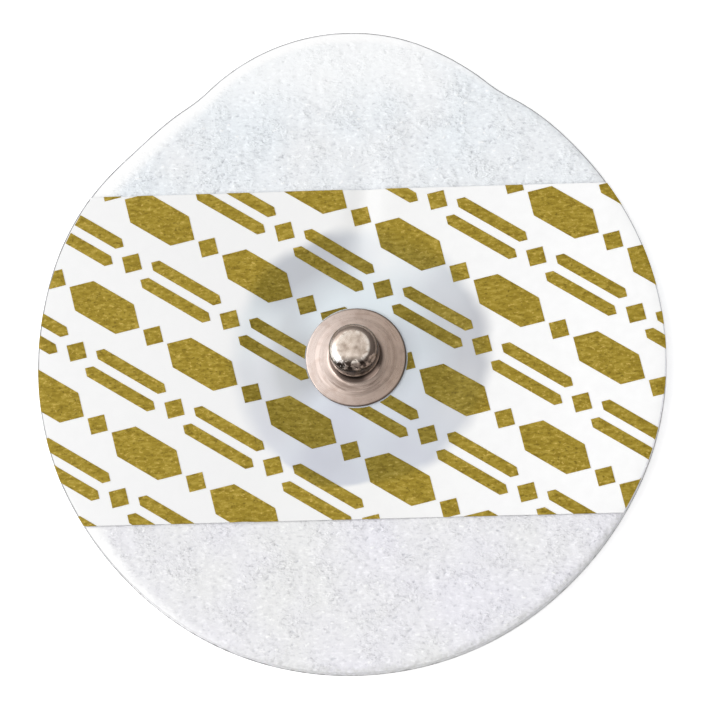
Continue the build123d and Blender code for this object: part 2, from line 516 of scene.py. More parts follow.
def make_foam():
    """The foam pad: a pitted upper face, a rippled cut wall, the well, and a flat skin face."""
    pits = Pits()
    edge = pad_loop(edge_step)
    well = circle_loop(well_radius, well_step)

    def between(from_edge, from_well):
        """A test for points this far inside the cut edge and outside the well."""
        return lambda x, y: (edge_distance(x, y) > from_edge) & (np.hypot(x, y) > well_radius + from_well)

    inside, off_rims = between(sliver, -slack), between(0.62, 0.3)
    grid = pits.clear(scatter(foam_grid, lambda x, y: bare(x, y, 0.1) & (edge_distance(x, y) > 0.55)))
    rim = np.vstack([edge - outward(edge) * inset for inset in rim_rows])
    bed = scatter(bed_grid, lambda x, y: (from_label_edge(y) > 0.12) & off_rims(x, y))
    upper, upper_faces = triangulate((edge, well), np.vstack((rim, grid, pits.points(), bed)), inside)
    skin = scatter(skin_grid, between(0.4, 0.4))
    lower, lower_faces = triangulate((edge, well), skin, inside)

    upper_points = np.c_[upper, foam_height(upper[:, 0], upper[:, 1], pits)]
    lower_points = np.c_[lower, np.zeros(len(lower))]
    rows = foam_wall(edge, upper_points[:len(edge), 2])
    points = np.vstack([upper_points, lower_points] + rows)

    ring = np.arange(len(edge))
    first_row = len(upper) + len(lower)
    row_rings = [ring + first_row + k * len(edge) for k in range(len(rows))]
    rings = [ring] + row_rings + [ring + len(upper)]
    well_ring = np.arange(len(well)) + len(edge)
    faces = upper_faces.tolist() + (lower_faces + len(upper)).tolist()
    for above, below in zip(rings, rings[1:]):
        faces += wall(above, below)
    faces += wall(well_ring, well_ring + len(upper))
    piece = new_object("foam_pad", points, faces)

    x, y = get_points(piece)[:, :2].T
    # the painted rim highlight: on the upper face, and on the wall below where it lies low on the pad
    fade = rim_highlight(x, y)
    on_upper = np.arange(len(points)) < len(upper)
    store(piece, "rim", fade * np.where(on_upper, 1.0, smoothstep(*rim_wall, y)))
    # painted shade along the rim on the lower right and below
    store(piece, "crumbs", rim_shade(x, y))
    # the pits' depth, which the material paints as shade in the pits and as highlights on raised specks
    store(piece, "pit", np.where(from_label_edge(y) < 0.0, pits.sink(x, y) * (1.0 - fade) / full_pit, 0.0))
    return piece


def label_loop(step):
    """Points round the label: its two long edges, and its two ends on the pad's cut edge."""
    edge = pad_loop(step)
    ends = edge[from_label_edge(edge[:, 1]) > step / 2]
    right, left = ends[ends[:, 0] > 0], ends[ends[:, 0] < 0]
    right, left = right[np.argsort(right[:, 1])], left[np.argsort(-left[:, 1])]

    def long_edge(y, side):
        """Points from one end of a long edge to the other."""
        up = y - pad_middle[1]
        reach = math.sqrt(pad_radius**2 - up**2)
        first, last = (s * (reach + cut_stray(math.atan2(up, s * reach)) * pad_radius / reach)
                       for s in (side, -side))
        xs = pad_middle[0] + np.linspace(first, last, int(2 * reach / step))
        return np.c_[xs, np.full(len(xs), y)]

    return np.vstack((right, long_edge(label_high[1], 1), left, long_edge(label_low[1], -1)))


def make_label():
    """The label's film, with the bore that the eyelet's post goes through."""
    loop = label_loop(label_step)
    loop = loop - outward(loop) * film_inset
    bore = circle_loop(bore_radius, label_step)
    margin, end_margin = 0.2, 0.35  # from the film's edges to its first inner points

    def inside(x, y):
        on_film = np.minimum(from_label_edge(y), edge_distance(x, y)) > film_inset + sliver
        return on_film & (np.hypot(x, y) > bore_radius - slack)

    def well_inside(x, y):
        off_edges = (from_label_edge(y) > margin) & (edge_distance(x, y) > end_margin)
        return off_edges & (np.hypot(x, y) > bore_radius + margin)

    inner = scatter(label_grid, well_inside)
    rim = loop - outward(loop) * cut_line
    rim = rim[from_label_edge(rim[:, 1]) > margin]
    flat, faces = triangulate((loop, bore), np.vstack((rim, inner)), inside)
    height = label_height(flat[:, 0], flat[:, 1])
    points = np.vstack((np.c_[flat, height], np.c_[flat, height - label_thickness]))
    count = len(flat)
    all_faces = faces.tolist() + (faces[:, ::-1] + count).tolist()
    for ring in (np.arange(len(loop)), np.arange(len(bore)) + len(loop)):
        all_faces += wall(ring, ring + count)
    return new_object("label_film", points, all_faces, label_crease_angle)


def solid_label_top(x, y):
    """Upper face of the label's plain solid, which the solid print lies on."""
    slope = dish_rim_radius - dish_floor_radius
    share = np.clip((np.hypot(x, y) - dish_floor_radius) / slope, 0.0, 1.0)
    return foam_thickness + label_thickness - dish_depth * (1.0 - share)


def make_print(weld=1e-7, on_plane=1e-8):
    """The print's solids, cut fine and laid on the soft label, inside its strayed ends."""
    bm = bmesh.new()
    bm.from_mesh(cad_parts["label_print"].data)
    bmesh.ops.remove_doubles(bm, verts=bm.verts, dist=weld)
    spans = (((1, 0, 0), foam_low[0], foam_high[0]), ((0, 1, 0), label_low[1], label_high[1]))
    for normal, low, high in spans:
        for place in np.arange(low + label_grid, high, label_grid):
            bmesh.ops.bisect_plane(bm, geom=bm.verts[:] + bm.edges[:] + bm.faces[:], dist=on_plane,
                                   plane_co=Vector(normal) * place * MM, plane_no=normal)
    co = np.array([v.co[:] for v in bm.verts]) / MM
    x, y = co[:, :2].T
    lift = label_height(x, y) - solid_label_top(x, y)
    from_middle = co[:, :2] - pad_middle
    spare = np.clip(edge_distance(x, y) - 2 * film_inset, None, 0.0)
    inward = from_middle * (spare / np.hypot(from_middle[:, 0], from_middle[:, 1]))[:, None]
    for vert, (dx, dy), dz in zip(bm.verts, inward, lift):
        vert.co += Vector((dx, dy, dz)) * MM
    mesh = bpy.data.meshes.new("gold_print")
    bm.to_mesh(mesh)
    bm.free()
    return link("gold_print", mesh)


def rounded_line(corners):
    """A profile through corners (radius, height, rounding), with an arc at each corner that has a rounding."""
    points = []
    for k, (x, z, radius) in enumerate(corners):
        here = np.array((x, z))
        if radius == 0 or k in (0, len(corners) - 1):
            points.append(here)
            continue
        back = np.array(corners[k - 1][:2]) - here
        ahead = np.array(corners[k + 1][:2]) - here
        back, ahead = back / np.hypot(*back), ahead / np.hypot(*ahead)
        half_turn = math.acos(np.clip(back @ ahead, -1, 1)) / 2
        middle = here + (back + ahead) / np.hypot(*(back + ahead)) * radius / math.sin(half_turn)
        start = here + back * radius / math.tan(half_turn) - middle
        end = here + ahead * radius / math.tan(half_turn) - middle
        first = math.atan2(start[1], start[0])
        turn = (math.atan2(end[1], end[0]) - first + math.pi) % (2 * math.pi) - math.pi
        for angle in np.linspace(first, first + turn, max(3, int(abs(turn) * radius / arc_step) + 2)):
            points.append(middle + radius * np.array((math.cos(angle), math.sin(angle))))
    return np.array(points)


def fine_line(points, step):
    """The same profile with its long runs divided."""
    out = []
    for a, b in zip(points, points[1:]):
        count = max(1, int(np.hypot(*(b - a)) / step))
        out += [a + (b - a) * k / count for k in range(count)]
    return np.array(out + [points[-1]])


def lathe(name, corners, step, segments):
    """A closed body turned from a rounded profile that starts and ends on the axis."""
    profile = fine_line(rounded_line(corners), step)
    body = profile[1:-1]
    angles = np.linspace(0, 2 * math.pi, segments, endpoint=False)
    rings = [np.c_[r * np.cos(angles), r * np.sin(angles), np.full(segments, z)] for r, z in body]
    points = np.vstack(rings + [[[0, 0, profile[0][1]], [0, 0, profile[-1][1]]]])
    faces = []
    for k in range(len(body) - 1):
        faces += wall(np.arange(segments) + k * segments, np.arange(segments) + (k + 1) * segments)
    first, last = len(points) - 2, len(points) - 1
    end_ring = (len(body) - 1) * segments
    for k in range(segments):
        n = (k + 1) % segments
        faces.append((first, k, n))
        faces.append((last, end_ring + n, end_ring + k))
    return new_object(name, points, faces)


# Small dents on the front of the stud's head
head_dents = Relief(1.0, 0.42, seed=41, shift=(40.0, 40.0))
dents_to_radian = 1.9
dent_turn = 0.15  # from the front, in radians
dent_front, dent_heights, dent_radii = (0.1, 0.8), (3.3, 3.8), (1.2, 1.5)
dent_push, dent_sink = 0.05, 0.07


def make_stud():
    """The drawn stud: a slightly domed flange, the shallow step, the undercut neck and the round head."""
    rim = stud_base + stud_sheet
    inner_neck, inner_head = neck_radius - stud_sheet, head_radius - stud_sheet
    roof = 5.0
    corners = (
        (0.0, stud_top, 0.0),
        (head_radius, stud_top - 0.02, 0.72),
        (head_radius, 3.12, 0.22),
        (neck_radius, 2.76, 0.2),
        (neck_radius, 2.10, 0.3),
        (cone_radius, rim + 0.11, 0.35),
        (step_radius - 0.3, rim + 0.05, 0.7),
        (step_radius, rim + 0.01, 0.7),
        (flange_radius, rim - 0.05, 0.07),
        (flange_radius, stud_base + 0.01, 0.05),
        (step_radius - 0.2, stud_base, 0.1),
        (cone_radius + 0.2, stud_base + 0.1, 0.1),
        (inner_neck, 2.20, 0.2),
        (inner_neck, 2.79, 0.0),
        (inner_head, 3.24, 0.0),
        (inner_head, 4.55, 0.3),
        (1.25, roof, 0.0),
        (0.0, roof, 0.0),
    )
    piece = lathe("stud", corners, step=0.06, segments=180)
    co = get_points(piece)
    radius, angle = np.hypot(co[:, 0], co[:, 1]), np.arctan2(co[:, 1], co[:, 0])
    front = smoothstep(*dent_front, -np.sin(angle - dent_turn))
    shoulder = smoothstep(*dent_heights, co[:, 2]) * smoothstep(*dent_radii, radius)
    dents = np.clip(head_dents.at(angle * dents_to_radian, co[:, 2]), 0, 1) * front * shoulder
    co[:, :2] *= (1 - dent_push * dents)[:, None]
    co[:, 2] -= dent_sink * dents
    set_points(piece, co)
    return piece


# Pores and swellings on the gel's skin face
gel_pores = Relief(1.0, 0.45, seed=31)
gel_swells = Relief(0.03, 2.5, seed=32)
pore_start, pore_depth = 0.1, 0.12
gel_inset = 0.03  # of the skin face from the skin


def make_gel():
    """The soaked sponge: a porous skin face, and a pocket for the eyelet in its other face."""
    top = gel_high[2] - 0.05
    pocket = eyelet_high[0] + 0.1
    floor = eyelet_low[2]
    corners = (
        (0.0, gel_inset, 0.0),
        (gel_radius, gel_inset, 0.25),
        (gel_radius, top, 0.2),
        (pocket, top, 0.05),
        (pocket, floor, 0.0),
        (0.0, floor, 0.0),
    )
    piece = lathe("gel_pad", corners, step=0.16, segments=240)
    co = get_points(piece)
    x, y, z = co.T
    pores = np.clip(gel_pores.at(x, y) - pore_start, 0, 1)
    on_skin = z < 0.2
    co[:, 2] += np.where(on_skin, gel_inset + pore_depth * pores + gel_swells.at(x, y), 0.0)
    set_points(piece, co)
    return piece


# Materials

white = (255, 255, 255)
stud_axis = (0.0, 0.0)
gel_middle = (0.35, 0.0)  # the gel lies a little off the stud's axis under the film
gel_edge_waver = 0.45

# Numbers by direction, from -X by way of -Y, +X and +Y. The film over the well: how much painted shade its slope
# takes, how much of the gel shows there, how much painted shade the film takes near the stud, and how soft the
# gel's edge is
slope_shades = (
    (0.0, 0.2), (0.04, 0.3), (0.1, 0.1), (0.15, 0.15), (0.2, 0.35), (0.33, 0.4), (0.4, 0.6), (0.46, 1.0),
    (0.55, 1.0), (0.62, 0.65), (0.68, 0.2), (0.74, 0.2), (0.78, 0.85), (0.88, 0.8), (0.94, 0.15), (1.0, 0.15),
)
slope_shows = (
    (0.0, 0.6), (0.08, 0.65), (0.13, 0.75), (0.18, 1.0), (0.36, 1.0), (0.43, 0.75), (0.5, 0.95), (0.62, 0.95),
    (0.68, 0.6), (0.71, 0.35), (0.74, 0.6), (0.77, 1.0), (0.9, 1.0), (0.95, 0.7), (1.0, 0.6),
)
inner_shades = ((0.0, 1.0), (0.07, 0.9), (0.13, 0.15), (0.88, 0.1), (0.95, 0.7), (1.0, 1.0))
edge_softness = (
    (0.0, 0.8), (0.1, 0.6), (0.15, 0.0), (0.24, 0.0), (0.32, 0.3), (0.42, 0.5), (0.55, 0.55), (0.64, 0.5),
    (0.7, 1.0), (0.74, 0.8), (0.79, 0.3), (0.89, 0.4), (1.0, 0.8),
)
# How strong the painted shade lines along the cut edge and on the adhesive film's edge are
cut_line_shows = (
    (0.0, 1.0), (0.08, 0.9), (0.13, 0.4), (0.18, 0.0), (0.44, 0.0), (0.5, 0.3), (0.54, 0.7), (0.76, 0.7),
    (0.84, 1.0),
)
film_edge_shows = ((0.0, 1.0), (0.2, 1.0), (0.28, 0.0), (0.5, 0.0), (0.55, 1.0))
# How much painted shade the rim of the stud's flange takes, and how much painted highlight and painted shade the
# shoulder of its head takes
flange_rim_shades = ((0.0, 0.0), (0.1, 0.3), (0.2, 0.9), (0.5, 1.0), (0.68, 0.9), (0.8, 0.4), (0.9, 0.0))
shoulder_highlights = ((0.0, 0.5), (0.05, 1.0), (0.13, 1.0), (0.2, 0.0), (0.92, 0.0), (1.0, 0.5))
shoulder_shades = ((0.26, 0.0), (0.33, 1.0), (0.5, 0.7), (0.6, 0.3), (0.75, 0.0))


def srgb(*color):
    """A screen colour from 0 to 255 as a linear one."""
    return tuple(c / 12.92 if c <= 0.04045 else ((c + 0.055) / 1.055) ** 2.4 for c in np.array(color) / 255)


def grey(level):
    """A linear grey."""
    return (level,) * 3


class Nodes:
    """A node tree, with short ways to add and join its nodes."""

    def __init__(self, owner, surface):
        owner.use_nodes = True
        self.tree = owner.node_tree
        self.surface = self.tree.nodes[surface]

    def put(self, value, target):
        """Joins a socket to an input, or sets the input to a plain number, vector or linear colour."""
        if isinstance(value, bpy.types.NodeSocket):
            self.tree.links.new(value, target)
        else:
            target.default_value = (*value, 1.0) if target.type == "RGBA" else value

    def set(self, **values):
        """Puts values into the surface's inputs. An underscore stands for a space in their names."""
        for key, value in values.items():
            self.put(value, self.surface.inputs[key.replace("_", " ")])

    def add(self, kind, *inputs, **settings):
        """A node with these settings, and with values for its first inputs."""
        node = self.tree.nodes.new("ShaderNode" + kind)
        for key, value in settings.items():
            setattr(node, key, value)
        for target, value in zip(node.inputs, inputs):
            self.put(value, target)
        return node

    def calc(self, operation, *numbers):
        return self.add("Math", *numbers, operation=operation).outputs[0]

    def times(self, first, *others):
        for other in others:
            first = self.calc("MULTIPLY", first, other)
        return first

    def vector(self, operation, a, b, output="Vector"):
        return self.add("VectorMath", a, b, operation=operation).outputs[output]

    def span(self, value, low, high, to_low=0.0, to_high=1.0, ends="LINEAR"):
        """A number carried over from one range to another, and kept inside it."""
        node = self.add("MapRange", value, low, high, to_low, to_high, interpolation_type=ends)
        return node.outputs["Result"]


class Shader(Nodes):
    """A material whose patterns are measured in millimetres of the object. Its colours are screen colours."""

    def __init__(self, name):
        self.material = bpy.data.materials.new(name)
        super().__init__(self.material, "Principled BSDF")
        self.place = self.vector("MULTIPLY", self.add("TexCoord").outputs["Object"], (1 / MM,) * 3)

    def stretched(self, x, y):
        return self.vector("MULTIPLY", self.place, (x, y, 1.0))

    def coordinate(self, axis):
        return self.add("SeparateXYZ", self.place).outputs[axis]

    def radius(self, middle):
        """Distance from an upright axis."""
        flat = self.vector("MULTIPLY", self.place, (1, 1, 0))
        return self.vector("DISTANCE", flat, (*middle, 0), "Value")

    def turned(self, rings, streaks):
        """A vector for noise that runs in rings round the stud's axis."""
        x, y = (self.times(self.coordinate(axis), streaks) for axis in "XY")
        return self.add("CombineXYZ", self.times(self.radius(stud_axis), rings), x, y).outputs[0]

    def stored(self, name):
        """A number that the piece's points carry."""
        return self.add("Attribute", attribute_name=name).outputs["Fac"]

    def noise(self, scale, detail=3.0, rough=0.55, vector=None):
        node = self.add("TexNoise", vector or self.place)
        for key, number in (("Scale", scale), ("Detail", detail), ("Roughness", rough)):
            node.inputs[key].default_value = number
        return node.outputs["Fac"]

    def band(self, value, stops):
        """Linear colours by value."""
        node = self.add("ValToRGB", value)
        elements = node.color_ramp.elements
        while len(elements) < len(stops):
            elements.new(0.5)
        for element, (place, color) in zip(elements, stops):
            element.position = place
            element.color = (*color, 1.0)
        return node.outputs["Color"]

    def ramp(self, value, *stops):
        """Colours by value; stops are (place, red, green, blue)."""
        return self.band(value, [(place, srgb(*color)) for place, *color in stops])

    def levels(self, value, stops):
        """Numbers by value; stops are (place, number)."""
        return self.band(value, [(place, grey(number)) for place, number in stops])

    def by_direction(self, stops, middle=gel_middle):
        """Numbers by the direction from an upright axis."""
        split = self.add("SeparateXYZ", self.vector("SUBTRACT", self.place, (*middle, 0))).outputs
        angle = self.calc("ARCTAN2", split["Y"], split["X"])
        return self.levels(self.span(angle, -math.pi, math.pi), stops)

    def mix(self, factor, a, b, mode="MIX"):
        """Mixes two colours, each a socket or a plain colour."""
        node = self.add("Mix", factor, data_type="RGBA", blend_type=mode)
        for color, target in zip((a, b), node.inputs[6:8]):
            self.put(srgb(*color) if isinstance(color, tuple) else color, target)
        return node.outputs[2]

    def layers(self, tone, *layers):
        """Lays colours over a tone, each through its mask."""
        for mask, color in layers:
            tone = self.mix(mask, tone, color)
        return tone

    def bump(self, height, strength, distance, before=None):
        node = self.add("Bump")
        node.inputs["Strength"].default_value = strength
        node.inputs["Distance"].default_value = distance * MM
        self.put(height, node.inputs["Height"])
        if before:
            self.put(before, node.inputs["Normal"])
        return node.outputs["Normal"]

    def finish(self, **values):
        """Sets the surface, and gives the material."""
        self.set(**values)
        return self.material


def gel_mask(mat):
    """One over the gel and nought outside. The edge is sharp in front, where the film clings to it."""
    waver = mat.span(mat.noise(0.22, 2.0), 0.3, 0.7, -gel_edge_waver, gel_edge_waver)
    away = mat.calc("ADD", mat.radius(gel_middle), waver)
    softness = mat.by_direction(edge_softness)
    start = mat.span(softness, 0.0, 1.0, well_radius + 0.2, well_radius - 1.2)
    end = mat.span(softness, 0.0, 1.0, well_radius + 0.7, well_radius + 1.4)
    return mat.span(away, start, end, 1.0, 0.0, "SMOOTHSTEP")


def foam_cells(mat):
    return mat.noise(3.0, 2.0, 0.5, mat.stretched(0.95, 1.7))


def foam_tone(mat, cells):
    """The foam's off-white, bluish and a little paler by the tab as painted light from above, with a painted
    highlight on the rim, painted shade in the burst cells' pits, painted highlights on raised specks, painted
    shade along the lower-right rim, and grey and bright specks of grain.
    """
    broad = mat.noise(0.13, 2.0)
    # painted light from above: by the tab the foam is a little lighter, as well as bluer, than on the far side
    lit_tab_side = mat.ramp(broad, (0.35, 249, 251, 253), (0.65, 246, 251, 255))
    far_side = mat.ramp(broad, (0.35, 247, 247, 247), (0.65, 246, 245, 251))
    tone = mat.mix(mat.span(mat.coordinate("Y"), -6.0, 6.0), far_side, lit_tab_side)
    specks = mat.ramp(cells, (0.28, 226, 226, 227), (0.4, 241, 241, 242), (0.58, 244, 244, 244), (0.68, *white))
    pit = mat.stored("pit")
    patchy = mat.span(mat.noise(3.0, 3.0, 0.6), 0.35, 0.65, 0.1, 0.9)
    return mat.layers(
        mat.mix(1.0, tone, specks, "MULTIPLY"),
        # painted shade in the pits, and painted highlights on the raised specks
        (mat.span(pit, 0.15, 0.8, 0.0, 0.5), (196, 198, 204)),
        (mat.span(pit, -0.08, -0.35, 0.0, 0.8), (254, 254, 254)),
        # painted shade along the lower-right rim, broken up by noise
        (mat.times(mat.stored("crumbs"), patchy), (208, 208, 207)),
        # painted highlight on the rim
        (mat.stored("rim"), white),
    )


def foam_material():
    """Closed-cell foam, with crusts and fine cells in clumps, smoother under the painted rim highlight."""
    mat = Shader("foam")
    cells = foam_cells(mat)
    crusts = mat.levels(cells, ((0.28, 0.0), (0.43, 0.42), (0.57, 0.58), (0.72, 1.0)))
    fine = mat.noise(5.5, 2.5, 0.6, mat.stretched(0.95, 1.5))
    clumps = mat.times(mat.span(mat.noise(0.5, 2.0), 0.4, 0.6, 0.2, 1.0),
                       mat.span(mat.stored("rim"), 0.0, 1.0, 1.0, 0.2))
    wrinkled = mat.bump(mat.times(crusts, clumps), 1.0, 0.085)
    return mat.finish(Base_Color=foam_tone(mat, cells), Roughness=0.75, Specular_IOR_Level=0.2,
                      Normal=mat.bump(mat.times(fine, clumps), 0.6, 0.06, wrinkled))


def label_material():
    """White film, painted a little grey on the left and brighter towards the right as light, with the gel showing
    through as a bluish-grey disc under painted shade on the well's slope and near the stud.
    """
    mat = Shader("label_film")
    patches = mat.noise(0.22, 1.5)
    below = mat.ramp(patches, (0.4, 213, 216, 227), (0.6, 220, 225, 234))
    above = mat.ramp(patches, (0.4, 222, 228, 234), (0.6, 229, 238, 243))
    outwards = mat.span(mat.radius(gel_middle), 5.0, 8.0)
    inwards = mat.span(mat.radius(gel_middle), 8.2, 6.6)
    wet = mat.layers(
        mat.mix(mat.span(mat.coordinate("Y"), -5.0, 4.0), below, above),
        # painted shade on the well's slope, darkest on the right where the stud's shadow falls, and near the stud
        # on the left
        (mat.times(outwards, mat.by_direction(slope_shades)), (185, 187, 193)),
        (mat.times(inwards, mat.by_direction(inner_shades)), (184, 187, 191)),
    )
    shows = mat.mix(outwards, white, mat.by_direction(slope_shows))
    fibre = mat.noise(1.1, 4.0)
    tone = mat.layers(
        # painted light: the film is brighter towards the right, and a little grey left of the middle
        mat.ramp(mat.span(mat.coordinate("X"), -pad_radius, pad_radius), (0.0, 247, 247, 247),
                 (0.3, 241, 241, 241), (0.52, 243, 243, 242), (0.72, 251, 251, 251), (0.85, 254, 254, 254)),
        (mat.span(fibre, 0.25, 0.75, 0.35, 0.0), (238, 238, 238)),
        (mat.times(gel_mask(mat), shows), wet),
    )
    return mat.finish(Base_Color=tone, Roughness=mat.span(fibre, 0.3, 0.7, 0.34, 0.46),
                      Specular_IOR_Level=0.4, Normal=mat.bump(fibre, 0.12, 0.04))


def ink_material():
    """Gold ink: a metallic flake in a yellow-brown varnish, with fine streaks along the label and painted glints
    on the brighter flakes.
    """
    mat = Shader("gold_ink")
    streaks = mat.noise(1.3, 4.0, 0.6, mat.stretched(1.0, 2.6))
    flakes = mat.noise(4.5, 2.0, 0.6, mat.stretched(0.75, 1.2))
    gold = mat.layers(
        mat.ramp(streaks, (0.34, 140, 117, 26), (0.5, 158, 135, 38), (0.66, 177, 153, 60)),
        # painted glints on the brighter flakes
        (mat.span(flakes, 0.58, 0.74), (206, 178, 88)),
        (mat.span(flakes, 0.44, 0.3), (122, 101, 18)),
    )
    shaded = mat.mix(1.0, gold, (220, 224, 224), "MULTIPLY")
    return mat.finish(Base_Color=mat.mix(gel_mask(mat), gold, shaded), Metallic=0.2,
                      Roughness=mat.span(streaks, 0.3, 0.7, 0.55, 0.42), Specular_IOR_Level=0.25,
                      Normal=mat.bump(flakes, 0.2, 0.02))


def uneven_tone(mat, dark, pale):
    """A grey that changes a little along an edge."""
    return mat.ramp(mat.noise(0.8, 3.0), (0.3, *dark), (0.7, *pale))


def cut_edge_material():
    """A grey line painted along the cut edge as shade where the rim turns down, from the left over the tab to the
    right.
    """
    mat = Shader("cut_edge")
    line = uneven_tone(mat, (138, 137, 138), (188, 188, 190))
    foam_white = foam_tone(mat, foam_cells(mat))
    return mat.finish(Base_Color=mat.mix(mat.by_direction(cut_line_shows), foam_white, line), Roughness=0.5)


def film_edge_material():
    """The cut edge of the adhesive film under the foam: grey of its own, and painted darker as shade where the pad
    meets the floor.
    """
    mat = Shader("film_edge")
    # painted contact shade at the foot of the wall, strong all round but for the lower right
    line = uneven_tone(mat, (128, 127, 128), (178, 178, 180))
    pale = uneven_tone(mat, (170, 169, 169), (216, 216, 217))
    return mat.finish(Base_Color=mat.mix(mat.by_direction(film_edge_shows), pale, line), Roughness=0.4)


def label_edge_material():
    """The cut edge of the label's film, painted grey as shade along its edge."""
    mat = Shader("label_edge")
    return mat.finish(Base_Color=uneven_tone(mat, (118, 118, 120), (168, 168, 170)), Roughness=0.5)


def flange_tone(mat, rings, stains):
    """The flange: greyer on the left and browner on the right as painted reflection, with stains, painted shade in
    front of the neck and towards the front, and painted shade at its rim.
    """
    away, front = mat.radius(stud_axis), mat.coordinate("Y")
    # painted reflection: the flange is greyer on the left and browner on the right
    left = mat.ramp(rings, (0.25, 191, 176, 168), (0.75, 205, 191, 184))
    right = mat.ramp(rings, (0.25, 197, 172, 155), (0.75, 208, 186, 171))
    arcs = mat.noise(1.0, 3.0, 0.6, mat.turned(4.0, 0.35))
    # painted shade and dark reflection in broken arcs on the flange in front of the neck
    neck_front_shade = mat.times(mat.span(arcs, 0.44, 0.6), mat.span(away, 3.5, 2.8),
                        mat.span(front, -0.6, -2.4, 0.1, 0.75))
    return mat.layers(
        mat.mix(mat.span(mat.coordinate("X"), -3.0, 3.0), left, right),
        (mat.span(stains, 0.5, 0.72, 0.0, 0.4), (160, 137, 124)),
        (neck_front_shade, (122, 104, 94)),
        # painted shade towards the front of the flange
        (mat.span(front, -2.0, -3.6, 0.0, 0.35), (160, 141, 131)),
        # painted shade at the flange's rim, on the right and in front
        (mat.times(mat.span(away, 3.84, 3.96), mat.by_direction(flange_rim_shades)), (88, 73, 64)),
    )


def head_tone(mat, stains, pits):
    """The head: stained on top with a painted highlight round the flat top, its shoulder painted darker, with a
    painted highlight on the left and painted shade on the right, and a painted dark outline.
    """
    high, away = mat.coordinate("Z"), mat.radius(stud_axis)
    shoulder = mat.times(mat.span(away, 1.3, 1.42), mat.span(high, 3.5, 3.7))
    return mat.layers(
        mat.ramp(stains, (0.34, 172, 155, 141), (0.5, 210, 194, 180), (0.66, 234, 220, 207)),
        # painted highlight in patches round the edge of the flat top
        (mat.times(mat.span(pits, 0.4, 0.56), mat.span(away, 0.95, 1.2)), (234, 223, 212)),
        # painted shade on the shoulder, where it turns away from the light
        (shoulder, (166, 149, 138)),
        # painted highlight on the shoulder's left, and painted shade on its right
        (mat.times(shoulder, mat.by_direction(shoulder_highlights, stud_axis)), (252, 247, 242)),
        (mat.times(shoulder, mat.by_direction(shoulder_shades, stud_axis)), (124, 108, 98)),
        # painted dark reflection where the head's shoulder turns down
        (mat.times(mat.span(away, 1.83, 1.93), mat.span(high, 4.0, 4.3)), (92, 78, 70)),
    )


def nickel_material():
    """Warm nickel plate with turning marks, painted shade at the neck's foot and in the undercut, and dark where
    it has worn off the head's front.
    """
    mat = Shader("nickel_plate")
    rings = mat.noise(1.0, 3.0, 0.6, mat.turned(7.0, 0.5))
    stains = mat.noise(1.3, 3.0, 0.5)
    pits = mat.noise(2.6, 4.0, 0.65)
    high = mat.coordinate("Z")
    on_front = mat.times(mat.span(mat.coordinate("Y"), -0.7, -1.3), mat.span(high, 3.3, 3.7))
    tone = mat.layers(
        flange_tone(mat, rings, stains),
        (mat.span(high, 3.1, 3.3), head_tone(mat, stains, pits)),
        # painted shade at the neck's foot, and deeper painted shade in the undercut under the head
        (mat.times(mat.span(high, 1.68, 1.8), mat.span(high, 3.4, 3.2)), (126, 109, 100)),
        (mat.times(mat.span(high, 1.86, 2.0), mat.span(high, 3.4, 3.1)), (50, 41, 36)),
        (mat.times(mat.span(pits, 0.56, 0.49), on_front), (54, 45, 40)),
    )
    return mat.finish(Base_Color=tone, Metallic=1.0, Roughness=mat.span(rings, 0.3, 0.7, 0.24, 0.34),
                      Normal=mat.bump(rings, 0.15, 0.02))


def grained_material(name, grain, colors, gloss, relief, **surface):
    """A material whose colour, gloss and relief all follow one grain."""
    mat = Shader(name)
    cells = mat.noise(*grain)
    return mat.finish(Base_Color=mat.ramp(cells, *colors), Roughness=mat.span(cells, 0.3, 0.7, *gloss),
                      Normal=mat.bump(cells, *relief), **surface)


def adhesive_material():
    """Clear adhesive on the foam's skin face."""
    return grained_material("adhesive", (1.6, 3.0), ((0.3, 222, 222, 218), (0.7, 234, 234, 230)),
                            (0.16, 0.34), (0.4, 0.05), Coat_Weight=0.6, Coat_Roughness=0.12)


def silver_material():
    """The eyelet's silver and silver chloride coat."""
    return grained_material("silver_coat", (4.0, 3.0), ((0.3, 138, 138, 140), (0.7, 168, 168, 170)),
                            (0.45, 0.6), (0.2, 0.02), Metallic=0.4)


def gel_material():
    """A sponge soaked with clear gel."""
    colors = ((0.3, 150, 162, 176), (0.55, 190, 200, 210), (0.75, 222, 228, 233))
    return grained_material("wet_gel", (1.5, 4.0, 0.6), colors,
                            (0.08, 0.28), (0.5, 0.08), Coat_Weight=0.8, Coat_Roughness=0.06)


# Pieces

def dress(piece, material, node):
    piece.data.materials.append(material)
    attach(piece, "root")
    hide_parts(node)


def add_material(piece, material):
    """Gives a piece one more material, and returns its number."""
    piece.data.materials.append(material)
    return len(piece.data.materials) - 1


def on_cut_line(face, inset):
    """Faces between the cut edge, or the film's inset edge, and the first row of points inside it."""
    return edge_distance(face.center.x / MM, face.center.y / MM) < inset + 0.8 * cut_line


foam = make_foam()
dress(foam, foam_material(), "foam_backing")
skin_side = add_material(foam, adhesive_material())
# the grey line painted along the cut edge as shade, on the foam and the label's ends
edge_shade_line = cut_edge_material()
cut_side = add_material(foam, edge_shade_line)
film_side = add_material(foam, film_edge_material())
for face in foam.data.polygons:
    if face.normal.z < -0.9:
        face.material_index = skin_side
    elif face.center.z < film_edge * MM:
        face.material_index = film_side
    elif len(face.vertices) == 3 and on_cut_line(face, 0.0):  # the wall below is made of quads
        face.material_index = cut_side

label = make_label()
dress(label, label_material(), "label")
end_side = add_material(label, edge_shade_line)
long_side = add_material(label, label_edge_material())
for face in label.data.polygons:
    if on_cut_line(face, film_inset):
        face.material_index = end_side
    # the label's long edge walls take the painted shade line
    elif abs(face.normal.y) > 0.7:
        face.material_index = long_side

dress(make_print(), ink_material(), "label_print")
dress(make_stud(), nickel_material(), "snap_stud")

